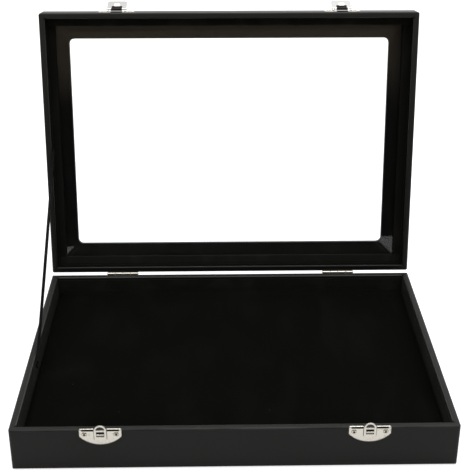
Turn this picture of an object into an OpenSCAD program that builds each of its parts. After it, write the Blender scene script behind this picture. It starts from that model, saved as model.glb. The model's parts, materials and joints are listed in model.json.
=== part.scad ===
// Pin display case: a leatherette-covered box with a velvet pin pad and a hinged glass lid.
// The origin is the middle of the underside, +X is right, -Y is the front and +Z is up.
// The lid stands open as far as its stay strap lets it, with both hasps folded back.

/* [Case] */
// Outside width, left to right
case_w = 350; // [280:1:450]
// Outside depth, front to back
case_d = 251; // [180:1:350]
// Height of the base, from the table to its rim
base_h = 37.5; // [33:0.5:60]
// Height of the lid, from its rim to its top
lid_h = 20; // [19:0.5:30]
// Gap between the two rims when the lid is shut
rim_gap = 0.4; // [0.3:0.1:0.8]
// Angle at which the stay strap stops the lid
open_angle = 99.2; // [92:0.1:108]
// Rounding of the covered outside edges
edge_r = 1.2; // [1.1:0.1:2]
// Radius of the case's upright corners
corner_r = 2.4; // [1.5:0.1:4]

/* [Boards and covering] */
// Thickness of the wall boards
board_t = 4; // [3:0.5:6]
// Thickness of the bottom board
bottom_t = 3; // [2:0.5:5]
// Depth of the rebate that takes the bottom board's edge
rebate = 2; // [1:0.5:2.5]
// Thickness of the window panel in the lid
panel_t = 3; // [2:0.5:4]
// Thickness of the leatherette
skin_t = 0.7; // [0.5:0.1:1]
// Rounding of the rim's inner edge
rim_r = 1; // [0.5:0.1:1.5]
// Thickness of the velvet on the inner walls
lining_t = 0.6; // [0.4:0.1:1]
// Distance from the rim to the edge of the wall velvet
lining_drop = 3; // [2:0.5:5]
// Width of leatherette turned under the base
turn_under = 14; // [10:1:25]
// Thickness of the sheet glued under the base
sheet_t = 0.5; // [0.3:0.1:1]
// Distance of that sheet's edge from the outside
sheet_inset = 4; // [3:0.5:8]

/* [Pin pad] */
// Thickness of the stiff board under the pad
pad_board_t = 2; // [1:0.5:3]
// Clearance between the pad and the wall velvet
pad_gap = 0.4; // [0.3:0.1:1]
// Height of the pad at its left and right edges
pad_edge_h = 18; // [12:0.5:19]
// Extra height along the pad's middle, from front to back
pad_bow = 5.5; // [3:0.5:6.5]
// Further height at the very centre
pad_crown = 1.5; // [0.5:0.5:3]
// Drop of the rolled edge all round
pad_roll = 3; // [1:0.5:4]
// How far the sides are drawn in at the bottom
pad_draw = 2; // [1:0.5:4]

/* [Glass and window] */
// Thickness of the glass
glass_t = 2; // [2:0.5:3]
// Clearance round the edge of the glass
glass_gap = 0.5; // [0.3:0.1:1]
// Distance from the outside of the lid to the window
window_inset = 25; // [18:0.1:40]
// Radius of the window's corners
window_r = 5; // [4:0.5:12]
// Width of the strips that hold the glass
strip_w = 6.8; // [5:0.2:10]
// Thickness of those strips
strip_t = 2.8; // [2:0.2:4]

/* [Hinges] */
// Distance of each hinge from the middle of the case
hinge_x = 106; // [80:1:130]
// Width of a hinge
hinge_w = 30; // [20:1:45]
// Distance of the hinge line behind the case
hinge_off = 1.3; // [1.3:0.1:2]
// Radius of the barrel, which lies in the groove between the two rounded rims
barrel_r = 1.4; // [1.2:0.1:1.5]
// Radius of the hinge pin
hinge_pin_r = 0.65; // [0.5:0.05:0.8]
// Clearance of a pin in its bore
pin_clear = 0.08; // [0.04:0.01:0.1]
// Length of pin that shows at each end
pin_end = 0.4; // [0.2:0.1:1]
// Thickness of a leaf
leaf_t = 0.8; // [0.6:0.1:1]
// Height of a leaf's plate
leaf_h = 11; // [8:0.5:13]
// Gap between knuckles
knuckle_gap = 0.3; // [0.2:0.1:0.5]
// Knuckles on a hinge, shared in turn by its two leaves
knuckle_count = 4; // [3:1:7]
// Distance of a leaf's screws from its middle
leaf_screw_x = 9; // [5:0.5:12]

/* [Screws and staples] */
// Radius of a screw's head
head_r = 2.1; // [1.8:0.1:2.6]
// Height of a screw's head
head_h = 0.7; // [0.5:0.1:1]
// Radius of a screw's shank
shank_r = 0.9; // [0.7:0.1:1.2]
// Width of the cross in a screw's head
cross_w = 0.5; // [0.3:0.1:0.8]
// Depth of that cross
cross_t = 0.4; // [0.2:0.1:0.5]
// Length of a screw under its head
shank_len = 4.6; // [3.5:0.1:5]
// Clearance of a screw or staple in its hole
fix_clear = 0.05; // [0.02:0.01:0.1]
// Thickness of a staple's wire
wire_t = 0.6; // [0.5:0.1:0.8]
// Width of a staple
staple_w = 6.5; // [5:0.5:8]
// Length of a staple's legs in the wall
staple_leg = 4; // [3:0.5:5]

/* [Catches on the base] */
// Distance of each clasp from the middle of the case
clasp_x = 104; // [70:1:130]
// Width of a plate
plate_w = 32.6; // [30:0.2:40]
// Height of the plate on the base
plate_h = 14.2; // [14:0.1:20]
// Height of that plate's top edge above the rim
plate_up = 1.4; // [0.8:0.1:1.8]
// Height of a plate's straight sides
plate_side = 6.8; // [6:0.1:8]
// Thickness of the plate on the base
plate_t = 1.2; // [1:0.1:1.5]
// Radius of the bend along that plate's top edge
bend_r = 1.1; // [0.6:0.1:1.1]
// Radius of a plate's square corners
plate_r = 1; // [0.5:0.1:2]
// Distance of a plate's screws from its middle
screw_x = 12.3; // [11.5:0.1:13]
// Depth of the catch's screws below the rim
screw_drop = 3.2; // [2.8:0.1:5]
// Width of the nose
nose_w = 9.5; // [9:0.1:10]
// Depth of the nose's round end below the rim
nose_drop = 10.5; // [9.5:0.1:11]
// Thickness of the nose
nose_t = 0.8; // [0.6:0.1:1]
// Height of the nose's arched top above the rim
arch_rise = 5.1; // [4.6:0.1:5.3]
// Radius of the half-moon hole in the arch
moon_r = 3.4; // [3:0.1:3.6]
// Height of that hole's straight foot above the rim
moon_foot = 0.5; // [0.3:0.1:0.8]
// Width of the nose's slot
slot_w = 6.2; // [5.8:0.1:6.5]
// Depth of the slot's upper edge below the rim
slot_top = 0.8; // [0.7:0.1:1.2]
// Height of the slot
slot_h = 2.2; // [1.8:0.1:2.4]
// Radius of the bead under the slot
bead_r = 0.7; // [0.5:0.1:0.8]
// How far the bead stands out of the nose
bead_out = 0.4; // [0.2:0.1:0.4]
// Height of the groove under the bead
groove_h = 0.9; // [0.5:0.1:1]
// Depth of that groove
groove_t = 0.6; // [0.3:0.1:0.6]

/* [Hasps on the lid] */
// Height of the plate on the lid
hasp_h = 15.5; // [14:0.5:16]
// Thickness of that plate
hasp_t = 0.8; // [0.6:0.1:0.9]
// Height of the plate's lower edge above the lid's rim
hasp_foot = 1.6; // [1.5:0.1:2]
// Height of the plate's screws above the lid's rim
hasp_screw_up = 8; // [7:0.1:9]
// Height of the hasp's pivot above the lid's rim
pivot_up = 6.4; // [6.4:0.1:7]
// Radius of the hasp's small barrels
pivot_r = 1.4; // [1.2:0.1:1.5]
// Radius of the hasp's pin
hasp_pin_r = 0.6; // [0.5:0.1:0.7]
// Clearance between the small barrels and the plate
pivot_gap = 0.2; // [0.2:0.1:0.5]
// Width of a flap
flap_w = 18; // [18:0.5:22]
// Length of a flap from its pivot to its end
flap_h = 16.4; // [15:0.1:18]
// Thickness of a flap
flap_t = 0.8; // [0.6:0.1:0.9]
// Radius of the flap's lower corners
flap_r = 3; // [1:0.5:5]
// Width of each small barrel
ear_w = 1.8; // [1.5:0.1:1.8]
// Clearance between the spring and the flap's barrels
spring_side = 0.35; // [0.3:0.05:0.8]
// Thickness of the spring
spring_t = 0.4; // [0.3:0.1:0.5]
// Height of the spring's turned-up end
spring_lip = 0.35; // [0.2:0.05:0.4]
// Gap between the spring's end and the nib
spring_back = 0.2; // [0.1:0.1:0.5]
// Length of the slope that rises to the nib
nib_len = 2.3; // [2:0.1:2.5]
// Thickness of the nib at its tip
nib_t = 0.4; // [0.3:0.1:0.6]
// Clearance at each end of the nib in the slot
nib_side = 0.5; // [0.3:0.1:0.8]
// How far the nib reaches past the nose's face
nib_bite = 0.5; // [0.3:0.1:0.6]
// Angle of the left flap from its shut position
left_fold = 155; // [90:1:175]
// Angle of the right flap from its shut position
right_fold = 154; // [90:1:175]

/* [Stay strap] */
// Width of the ribbon
strap_w = 10; // [8:0.5:11]
// Thickness of the ribbon
strap_t = 0.7; // [0.4:0.1:1]
// Distance of the upper staple from the lid's back face
strap_lid_up = 119; // [90:1:140]
// Depth of the upper staple behind the lid's rim
strap_lid_in = 4.6; // [4:0.1:5]
// Distance of the lower staple in front of the middle of the case
strap_base_front = 20; // [0:1:40]
// Depth of the lower staple below the base's rim
strap_base_drop = 6; // [5:0.5:8]
// Length of ribbon past each staple
strap_tail = 4; // [2:0.5:4]

/* [Hidden] */
$fn = 48;

// Colours of the finishes
leatherette = [0.14, 0.14, 0.13];
velvet = [0.05, 0.05, 0.05];
fibreboard = [0.55, 0.42, 0.30];
nickel = [0.82, 0.80, 0.75];
spring_steel = [0.16, 0.14, 0.12];
clear_glass = [0.75, 0.85, 0.85, 0.35];

// Distances from the outside of a wall to each of its layers
board_in = skin_t + board_t;
leather_in = board_in + skin_t;
wall_in = leather_in + lining_t;

// Levels in the base
wrap_z = sheet_t;
board_z = wrap_z + skin_t;
floor_z = board_z + bottom_t;
pad_z = floor_z + pad_board_t;
board_top_z = base_h - skin_t;

// Levels in the shut lid
lid_z = base_h + rim_gap;
lid_board_z = lid_z + skin_t;
lid_top_z = lid_z + lid_h;
panel_top_z = lid_top_z - skin_t;
panel_z = panel_top_z - panel_t;
glass_z = panel_z - glass_t;
strip_z = glass_z - strip_t;

// Hinge line of the lid
hinge_y = case_d / 2 + hinge_off;
hinge_z = base_h + rim_gap / 2;
leaf_top = barrel_r + knuckle_gap;
leaf_mid = leaf_top + leaf_h / 2;
neck_h = barrel_r / 2;
knuckle_w = (hinge_w - (knuckle_count - 1) * knuckle_gap) / knuckle_count;

// Hasp pivot, measured out from the front of the lid
pivot_out = hasp_t + pivot_gap + pivot_r;
nose_face = plate_t + nose_t;
nib_reach = rim_gap + pivot_up + slot_top + slot_h / 2;
flap_in = pivot_r - flap_t;
ear_in = flap_w / 2 - ear_w;
flap_knuckle_in = ear_in - knuckle_gap - ear_w;
spring_w = 2 * (flap_knuckle_in - spring_side);
spring_len = nib_reach - nib_len - spring_back;
nib_w = slot_w - 2 * nib_side;

// A size by which a cutter runs past the face that it cuts
past = 1;

// Points crowd towards the pad's edges, where its top rolls over
pad_cells_x = 20;
pad_cells_y = 14;
pad_roll_power = 24;

// Where a point of the shut lid lies when the lid stands open, as [y, z]
function opened(y, z) = [
    hinge_y + (y - hinge_y) * cos(open_angle) + (z - hinge_z) * sin(open_angle),
    hinge_z - (y - hinge_y) * sin(open_angle) + (z - hinge_z) * cos(open_angle)
];

// Ends of the taut strap at its staples, as [y, z]
strap_low = [-strap_base_front, base_h - strap_base_drop];
strap_high = opened(case_d / 2 - strap_lid_up, lid_z + strap_lid_in);
strap_run = norm(strap_high - strap_low);
strap_slope = atan2(strap_high[1] - strap_low[1], strap_high[0] - strap_low[0]);
strap_x = -case_w / 2 + wall_in;

// Placing

module lid_pose() {
    translate([0, hinge_y, hinge_z])
        rotate([-open_angle, 0, 0])
            translate([0, -hinge_y, -hinge_z])
                children();
}

// Local x is right, y is up and z is out from the front face, at height z
module on_front(z) {
    translate([0, -case_d / 2, z])
        rotate([90, 0, 0])
            children();
}

// Local z is out from the rear face
module on_rear(x, z) {
    translate([x, case_d / 2, z])
        rotate([-90, 0, 0])
            children();
}

// A section drawn in the y and z directions, carried along x
module along_x(x, length) {
    translate([x, 0, 0])
        rotate([90, 0, 90])
            linear_extrude(length)
                children();
}

module hasp_pose(side, fold) {
    lid_pose()
        on_front(lid_z)
            translate([side * clasp_x, pivot_up, pivot_out])
                rotate([-fold, 0, 0])
                    children();
}

// Shapes used more than once

module round_rect(w, d, r) {
    square([w - 2 * r, d], center = true);
    square([w, d - 2 * r], center = true);
    for (x = [-1, 1], y = [-1, 1])
        translate([x * (w / 2 - r), y * (d / 2 - r)])
            circle(r);
}

// An upright prism of the case's plan, drawn in by a distance on every side
module plan(inset, z0, z1, r = 0) {
    w = case_w - 2 * inset;
    d = case_d - 2 * inset;
    translate([0, 0, z0])
        linear_extrude(z1 - z0)
            if (r > 0)
                round_rect(w, d, r);
            else
                square([w, d], center = true);
}

// The covered outside of the base or lid, with every edge rounded
module soft_block(z0, z1) {
    h = z1 - z0;
    intersection() {
        plan(0, z0, z1, corner_r);
        along_x(-case_w / 2, case_w)
            translate([0, z0 + h / 2])
                round_rect(case_d, h, edge_r);
        translate([0, case_d / 2, z0 + h / 2])
            rotate([90, 0, 0])
                linear_extrude(case_d)
                    round_rect(case_w, h, edge_r);
    }
}

// Cuts the rim's inner edge round: up is 1 on the base and -1 on the lid
module rim_edge_cut(z, up) {
    module edge(length, reach) {
        translate([-length / 2 - rim_r, -reach, z])
            rotate([90, 0, 90])
                linear_extrude(length + 2 * rim_r)
                    scale([1, up])
                        difference() {
                            translate([-rim_r, -rim_r])
                                square([rim_r + past, rim_r + past]);
                            translate([-rim_r, -rim_r])
                                circle(rim_r);
                        }
    }
    inner_w = case_w - 2 * leather_in;
    inner_d = case_d - 2 * leather_in;
    for (turn = [0, 180])
        rotate(turn) {
            edge(inner_w, inner_d / 2);
            rotate(90)
                edge(inner_d, inner_w / 2);
        }
}

// A front (-1) or rear (1) board, which runs the whole width
module long_board(side, z0, z1) {
    depth = case_d / 2 - skin_t;
    intersection() {
        plan(skin_t, z0, z1, corner_r - skin_t);
        translate([-case_w / 2, side * (depth - board_t / 2) - board_t / 2, z0])
            cube([case_w, board_t, z1 - z0]);
    }
}

// A left (-1) or right (1) board, which fits between the long ones
module short_board(side, z0, z1) {
    length = case_d - 2 * board_in;
    translate([side * (case_w / 2 - skin_t - board_t / 2) - board_t / 2, -length / 2, z0])
        cube([board_t, length, z1 - z0]);
}

module screw() {
    difference() {
        intersection() {
            cylinder(r = head_r, h = head_h);
            dome_r = (head_r * head_r + head_h * head_h) / (2 * head_h);
            translate([0, 0, head_h - dome_r])
                sphere(dome_r);
        }
        for (turn = [0, 90])
            rotate(turn)
                translate([-head_r / 2, -cross_w / 2, head_h - cross_t])
                    cube([head_r, cross_w, head_h]);
    }
    translate([0, 0, -shank_len])
        cylinder(r = shank_r, h = shank_len);
}

module screw_hole() {
    translate([0, 0, -shank_len - fix_clear])
        cylinder(r = shank_r + fix_clear, h = shank_len + fix_clear + past);
}

module catch_screw_places() {
    on_front(base_h)
        for (clasp = [-1, 1], side = [-1, 1])
            translate([clasp * clasp_x + side * screw_x, -screw_drop, plate_t])
                children();
}

module hasp_screw_places() {
    on_front(lid_z)
        for (clasp = [-1, 1], side = [-1, 1])
            translate([clasp * clasp_x + side * screw_x, hasp_screw_up, hasp_t])
                children();
}

// Screws of the leaves on the base (up is -1) or on the lid (up is 1)
module hinge_screw_places(up) {
    for (hinge = [-1, 1], side = [-1, 1])
        on_rear(hinge * hinge_x + side * leaf_screw_x, hinge_z + up * leaf_mid)
            translate([0, 0, leaf_t])
                children();
}

// A staple across the strap, its crown on the ribbon and its legs in the left wall
module staple(at, clear = 0) {
    thick = wire_t + 2 * clear;
    translate([strap_x + strap_t, at[0], at[1]])
        rotate([strap_slope, 0, 0]) {
            translate([0, -thick / 2, -staple_w / 2 - clear])
                cube([wire_t + clear, thick, staple_w + 2 * clear]);
            for (end = [-1, 1])
                translate([-strap_t - staple_leg - clear, -thick / 2,
                           end * (staple_w - wire_t) / 2 - thick / 2])
                    cube([strap_t + staple_leg + clear, thick, thick]);
        }
}

// Base: boards, covering and lining

module base_front_board() {
    color(fibreboard)
        difference() {
            long_board(-1, board_z, board_top_z);
            bottom_board_body();
            catch_screw_places()
                screw_hole();
        }
}

module base_rear_board() {
    color(fibreboard)
        difference() {
            long_board(1, board_z, board_top_z);
            bottom_board_body();
            hinge_screw_places(-1)
                screw_hole();
        }
}

module base_left_board() {
    color(fibreboard)
        difference() {
            short_board(-1, board_z, board_top_z);
            bottom_board_body();
            staple(strap_low, fix_clear);
        }
}

module base_right_board() {
    color(fibreboard)
        difference() {
            short_board(1, board_z, board_top_z);
            bottom_board_body();
        }
}

module bottom_board_body() {
    plan(board_in - rebate, board_z, floor_z);
}

module base_bottom_board() {
    color(fibreboard)
        bottom_board_body();
}

module base_wrap() {
    color(leatherette)
        difference() {
            soft_block(wrap_z, base_h);
            difference() {
                plan(skin_t, board_z, board_top_z, corner_r - skin_t);
                plan(board_in, floor_z, base_h);
            }
            plan(leather_in, floor_z, base_h + past);
            plan(turn_under, wrap_z - past, board_z);
            rim_edge_cut(base_h, 1);
            catch_screw_places()
                screw_hole();
            hinge_screw_places(-1)
                screw_hole();
            staple(strap_low, fix_clear);
        }
}

module base_bottom_sheet() {
    color(velvet) {
        plan(sheet_inset, 0, sheet_t);
        plan(turn_under, 0, board_z);
    }
}

module base_lining() {
    color(velvet)
        difference() {
            plan(leather_in, floor_z, base_h - lining_drop);
            plan(wall_in, floor_z - past, base_h);
            staple(strap_low, fix_clear);
        }
}

// Base: the pin pad

module pad_board() {
    color(fibreboard)
        plan(wall_in + pad_gap + pad_draw, floor_z, pad_z);
}

function pad_share(i, cells) = sin(90 * (2 * i / cells - 1));

function pad_height(u, v) =
    let (roll = 1 - (1 - pow(abs(u), pad_roll_power)) * (1 - pow(abs(v), pad_roll_power)))
    pad_edge_h + (1 - u * u) * (pad_bow + pad_crown * (1 - v * v)) - pad_roll * roll;

module pin_pad() {
    half_w = case_w / 2 - wall_in - pad_gap;
    half_d = case_d / 2 - wall_in - pad_gap;
    row = pad_cells_y + 1;
    top = [
        for (i = [0 : pad_cells_x], j = [0 : pad_cells_y])
            let (u = pad_share(i, pad_cells_x), v = pad_share(j, pad_cells_y))
                [u * half_w, v * half_d, pad_height(u, v)]
    ];
    rim = concat(
        [for (i = [0 : pad_cells_x - 1]) i * row],
        [for (j = [0 : pad_cells_y - 1]) pad_cells_x * row + j],
        [for (i = [pad_cells_x : -1 : 1]) i * row + pad_cells_y],
        [for (j = [pad_cells_y : -1 : 1]) j]
    );
    count = len(rim);
    drawn_w = 1 - pad_draw / half_w;
    drawn_d = 1 - pad_draw / half_d;
    foot = [for (k = rim) [top[k][0] * drawn_w, top[k][1] * drawn_d, 0]];
    foot_start = len(top);
    middle = foot_start + count;
    top_faces = [
        for (i = [0 : pad_cells_x - 1], j = [0 : pad_cells_y - 1])
            let (a = i * row + j, b = a + row, c = b + 1, d = a + 1)
                each [[a, d, c], [a, c, b]]
    ];
    side_faces = [
        for (k = [0 : count - 1])
            let (next = (k + 1) % count, p = foot_start + k, q = foot_start + next)
                each [[rim[k], rim[next], q], [rim[k], q, p], [middle, p, q]]
    ];
    color(velvet)
        translate([0, 0, pad_z])
            polyhedron(concat(top, foot, [[0, 0, 0]]), concat(top_faces, side_faces));
}

// Lid: boards, window panel, covering and lining

module lid_front_board() {
    color(fibreboard)
        lid_pose()
            difference() {
                long_board(-1, lid_board_z, panel_z);
                hasp_screw_places()
                    screw_hole();
            }
}

module lid_rear_board() {
    color(fibreboard)
        lid_pose()
            difference() {
                long_board(1, lid_board_z, panel_z);
                hinge_screw_places(1)
                    screw_hole();
            }
}

module lid_left_board() {
    color(fibreboard)
        difference() {
            lid_pose()
                short_board(-1, lid_board_z, panel_z);
            staple(strap_high, fix_clear);
        }
}

module lid_right_board() {
    color(fibreboard)
        lid_pose()
            short_board(1, lid_board_z, panel_z);
}

// The window's opening, made smaller by a covering of the given thickness
module window(cover, z0, z1) {
    plan(window_inset - skin_t + cover, z0, z1, window_r + skin_t - cover);
}

module window_panel_body() {
    difference() {
        plan(skin_t, panel_z, panel_top_z, corner_r - skin_t);
        window(0, panel_z - past, panel_top_z + past);
    }
}

module lid_window_panel() {
    color(velvet)
        lid_pose()
            window_panel_body();
}

module lid_wrap() {
    color(leatherette)
        difference() {
            lid_pose()
                difference() {
                    soft_block(lid_z, lid_top_z);
                    difference() {
                        plan(skin_t, lid_board_z, panel_z, corner_r - skin_t);
                        plan(board_in, lid_z, glass_z);
                        window(0, glass_z, panel_z);
                    }
                    window_panel_body();
                    plan(leather_in, lid_z - past, glass_z);
                    window(0, glass_z, panel_z);
                    window(skin_t, panel_z - past, lid_top_z + past);
                    rim_edge_cut(lid_z, -1);
                    hasp_screw_places()
                        screw_hole();
                    hinge_screw_places(1)
                        screw_hole();
                }
            staple(strap_high, fix_clear);
        }
}

module lid_lining() {
    color(velvet)
        difference() {
            lid_pose()
                difference() {
                    plan(leather_in, lid_z + lining_drop, glass_z);
                    plan(wall_in, lid_z, glass_z + past);
                }
            staple(strap_high, fix_clear);
        }
}

// Lid: glass and the strips that hold it

module glass_pane() {
    color(clear_glass)
        lid_pose()
            plan(board_in + glass_gap, glass_z, panel_z);
}

// A front (-1) or rear (1) strip, which runs the whole width
module long_strip(side) {
    length = case_w - 2 * wall_in;
    color(velvet)
        lid_pose()
            translate([-length / 2, side * (case_d / 2 - wall_in - strip_w / 2) - strip_w / 2, strip_z])
                cube([length, strip_w, strip_t]);
}

// A left (-1) or right (1) strip, which fits between the long ones
module short_strip(side) {
    length = case_d - 2 * (wall_in + strip_w);
    color(velvet)
        lid_pose()
            translate([side * (case_w / 2 - wall_in - strip_w / 2) - strip_w / 2, -length / 2, strip_z])
                cube([strip_w, length, strip_t]);
}

// Hinges

// One knuckle with the neck that carries it, drawn from the hinge line
module knuckle_section() {
    circle(barrel_r);
    translate([-hinge_off, -leaf_top])
        square([leaf_t, leaf_top]);
    translate([-hinge_off, -neck_h])
        square([hinge_off, neck_h]);
}

// A leaf below the hinge line, with every second knuckle from the given one on
module leaf_body(first) {
    difference() {
        union() {
            translate([-hinge_w / 2, -hinge_off, -leaf_top - leaf_h])
                cube([hinge_w, leaf_t, leaf_h]);
            for (k = [first : 2 : knuckle_count - 1])
                along_x(-hinge_w / 2 + k * (knuckle_w + knuckle_gap), knuckle_w)
                    knuckle_section();
        }
        translate([-hinge_w / 2 - past, 0, 0])
            rotate([0, 90, 0])
                cylinder(r = hinge_pin_r + pin_clear, h = hinge_w + 2 * past);
    }
}

module base_leaf(side) {
    color(nickel)
        difference() {
            translate([side * hinge_x, hinge_y, hinge_z])
                leaf_body(0);
            hinge_screw_places(-1)
                screw_hole();
        }
}

module lid_leaf(side) {
    color(nickel)
        lid_pose()
            difference() {
                translate([side * hinge_x, hinge_y, hinge_z])
                    mirror([0, 0, 1])
                        leaf_body(1);
                hinge_screw_places(1)
                    screw_hole();
            }
}

module hinge_pin(side) {
    length = hinge_w + 2 * pin_end;
    color(nickel)
        translate([side * hinge_x - length / 2, hinge_y, hinge_z])
            rotate([0, 90, 0])
                cylinder(r = hinge_pin_r, h = length);
}

module base_hinge_screws() {
    color(nickel)
        hinge_screw_places(-1)
            screw();
}

module lid_hinge_screws() {
    color(nickel)
        lid_pose()
            hinge_screw_places(1)
                screw();
}

// Clasps: the catch on the base

// A half-moon plate that hangs from its straight edge
module half_moon(h) {
    bulge = h - plate_side;
    arc_r = (plate_w * plate_w / 4 + bulge * bulge) / (2 * bulge);
    intersection() {
        translate([0, -h / 2])
            round_rect(plate_w, h, plate_r);
        translate([0, arc_r - h])
            circle(arc_r);
    }
}

// The slot through the nose and its plate, measured from the rim
module slot_outline() {
    translate([-slot_w / 2, -slot_top - slot_h])
        square([slot_w, slot_h]);
}

// A stamped plate with its top edge bent over, open behind the nose's hole and slot
module catch_plate(side) {
    color(nickel)
        difference() {
            on_front(base_h)
                translate([side * clasp_x, 0, 0])
                    difference() {
                        intersection() {
                            linear_extrude(plate_t)
                                translate([0, plate_up])
                                    half_moon(plate_h);
                            along_x(-plate_w / 2, plate_w) {
                                translate([plate_up - plate_h, 0])
                                    square([plate_h - bend_r, plate_t]);
                                square([plate_up, plate_t - bend_r]);
                                translate([plate_up - bend_r, plate_t - bend_r])
                                    circle(bend_r);
                            }
                        }
                        translate([0, 0, -past])
                            linear_extrude(plate_t + 2 * past) {
                                translate([-moon_r, -moon_foot])
                                    square([2 * moon_r, plate_up + moon_foot + past]);
                                slot_outline();
                            }
                    }
            catch_screw_places()
                screw_hole();
        }
}

// The nose's outline: a strip with a round end, topped by an arch with a half-moon hole
module nose_outline() {
    end_r = nose_w / 2;
    difference() {
        union() {
            translate([0, end_r - nose_drop])
                circle(end_r);
            translate([-end_r, end_r - nose_drop])
                square([nose_w, nose_drop + arch_rise - 2 * end_r]);
            translate([0, arch_rise - end_r])
                circle(end_r);
        }
        translate([0, moon_foot])
            intersection() {
                circle(moon_r);
                translate([-moon_r, 0])
                    square([2 * moon_r, moon_r]);
            }
        slot_outline();
    }
}

module catch_nose(side) {
    bead_drop = slot_top + slot_h + bead_r;
    color(nickel)
        on_front(base_h)
            translate([side * clasp_x, 0, plate_t])
                difference() {
                    union() {
                        linear_extrude(nose_t)
                            nose_outline();
                        intersection() {
                            translate([-slot_w / 2, -bead_drop, nose_t + bead_out - bead_r])
                                rotate([0, 90, 0])
                                    cylinder(r = bead_r, h = slot_w);
                            translate([-slot_w / 2, -bead_drop - bead_r, 0])
                                cube([slot_w, 2 * bead_r, nose_t + bead_out]);
                        }
                    }
                    translate([-slot_w / 2, -bead_drop - bead_r - groove_h, nose_t - groove_t])
                        cube([slot_w, groove_h, groove_t + past]);
                }
}

module catch_screws() {
    color(nickel)
        catch_screw_places()
            screw();
}

// Clasps: the hasp on the lid

// A plate with two small barrels on short necks, notched between them
module hasp_plate(side) {
    color(nickel)
        lid_pose()
            difference() {
                on_front(lid_z)
                    translate([side * clasp_x, 0, 0]) {
                        linear_extrude(hasp_t)
                            difference() {
                                translate([0, hasp_foot])
                                    mirror([0, 1])
                                        half_moon(hasp_h);
                                translate([-flap_knuckle_in, 0])
                                    square([2 * flap_knuckle_in, pivot_up]);
                            }
                        for (end = [0, 1])
                            mirror([end, 0, 0])
                                translate([ear_in, pivot_up, 0]) {
                                    translate([0, 0, pivot_out])
                                        rotate([0, 90, 0])
                                            cylinder(r = pivot_r, h = ear_w);
                                    cube([ear_w, pivot_r, pivot_out]);
                                }
                    }
                on_front(lid_z)
                    translate([side * clasp_x - flap_w / 2 - past, pivot_up, pivot_out])
                        rotate([0, 90, 0])
                            cylinder(r = hasp_pin_r + pin_clear, h = flap_w + 2 * past);
                hasp_screw_places()
                    screw_hole();
            }
}

module hasp_pin(side) {
    length = flap_w + 2 * pin_end;
    color(nickel)
        lid_pose()
            on_front(lid_z)
                translate([side * clasp_x - length / 2, pivot_up, pivot_out])
                    rotate([0, 90, 0])
                        cylinder(r = hasp_pin_r, h = length);
}

module hasp_screws() {
    color(nickel)
        lid_pose()
            hasp_screw_places()
                screw();
}

// A flap drawn shut, hanging from its pivot, with a nib pressed in towards the nose
module hasp_flap(side, fold) {
    top = pivot_r + knuckle_gap;
    tip_z = nose_face - nib_bite - pivot_out;
    color(nickel)
        hasp_pose(side, fold)
            difference() {
                union() {
                    translate([0, 0, flap_in])
                        linear_extrude(flap_t) {
                            translate([0, -(flap_h + top) / 2])
                                round_rect(flap_w, flap_h - top, flap_r);
                            translate([-flap_w / 2, -flap_h + flap_r])
                                square([flap_w, flap_h - flap_r - top]);
                        }
                    for (end = [0, 1])
                        mirror([end, 0, 0])
                            translate([flap_knuckle_in, 0, 0]) {
                                rotate([0, 90, 0])
                                    cylinder(r = pivot_r, h = ear_w);
                                translate([0, -top, flap_in])
                                    cube([ear_w, top, flap_t]);
                            }
                    along_x(-nib_w / 2, nib_w)
                        polygon([
                            [nib_len - nib_reach, flap_in], [-nib_reach, tip_z],
                            [-nib_reach - nib_t, tip_z], [-nib_reach - nib_t, flap_in]
                        ]);
                }
                translate([-flap_w / 2, 0, 0])
                    rotate([0, 90, 0])
                        cylinder(r = hasp_pin_r + pin_clear, h = flap_w);
            }
}

// A dark spring curled round the pin, flat on the flap, with its end turned up
module hasp_spring(side, fold) {
    curl_r = hasp_pin_r + pin_clear;
    back_z = flap_in - spring_t;
    color(spring_steel)
        hasp_pose(side, fold)
            along_x(-spring_w / 2, spring_w)
                difference() {
                    union() {
                        circle(curl_r + spring_t);
                        translate([-spring_len, back_z])
                            square([spring_len, spring_t]);
                        translate([-spring_len, back_z - spring_lip])
                            square([spring_t, spring_lip]);
                    }
                    circle(curl_r);
                }
}

// Stay strap

module stay_strap() {
    color(velvet)
        difference() {
            translate([strap_x, strap_low[0], strap_low[1]])
                rotate([strap_slope, 0, 0])
                    translate([0, -strap_tail, -strap_w / 2])
                        cube([strap_t, strap_run + 2 * strap_tail, strap_w]);
            staple(strap_low, fix_clear);
            staple(strap_high, fix_clear);
        }
}

module strap_staple(at) {
    color(nickel)
        staple(at);
}

base_front_board();
base_rear_board();
base_left_board();
base_right_board();
base_bottom_board();
base_wrap();
base_bottom_sheet();
base_lining();
pad_board();
pin_pad();
base_leaf(-1);  // left_hinge_base_leaf
base_leaf(1);  // right_hinge_base_leaf
hinge_pin(-1);  // left_hinge_pin
hinge_pin(1);  // right_hinge_pin
base_hinge_screws();
catch_plate(-1);  // left_catch_plate
catch_plate(1);  // right_catch_plate
catch_nose(-1);  // left_catch_nose
catch_nose(1);  // right_catch_nose
catch_screws();
lid_front_board();
lid_rear_board();
lid_left_board();
lid_right_board();
lid_window_panel();
lid_wrap();
lid_lining();
glass_pane();
long_strip(-1);  // front_glass_strip
long_strip(1);  // rear_glass_strip
short_strip(-1);  // left_glass_strip
short_strip(1);  // right_glass_strip
lid_leaf(-1);  // left_hinge_lid_leaf
lid_leaf(1);  // right_hinge_lid_leaf
lid_hinge_screws();
hasp_plate(-1);  // left_hasp_plate
hasp_plate(1);  // right_hasp_plate
hasp_pin(-1);  // left_hasp_pin
hasp_pin(1);  // right_hasp_pin
hasp_screws();
hasp_flap(-1, left_fold);  // left_hasp_flap
hasp_flap(1, right_fold);  // right_hasp_flap
hasp_spring(-1, left_fold);  // left_hasp_spring
hasp_spring(1, right_fold);  // right_hasp_spring
stay_strap();
strap_staple(strap_low);  // strap_base_staple
strap_staple(strap_high);  // strap_lid_staple
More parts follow.
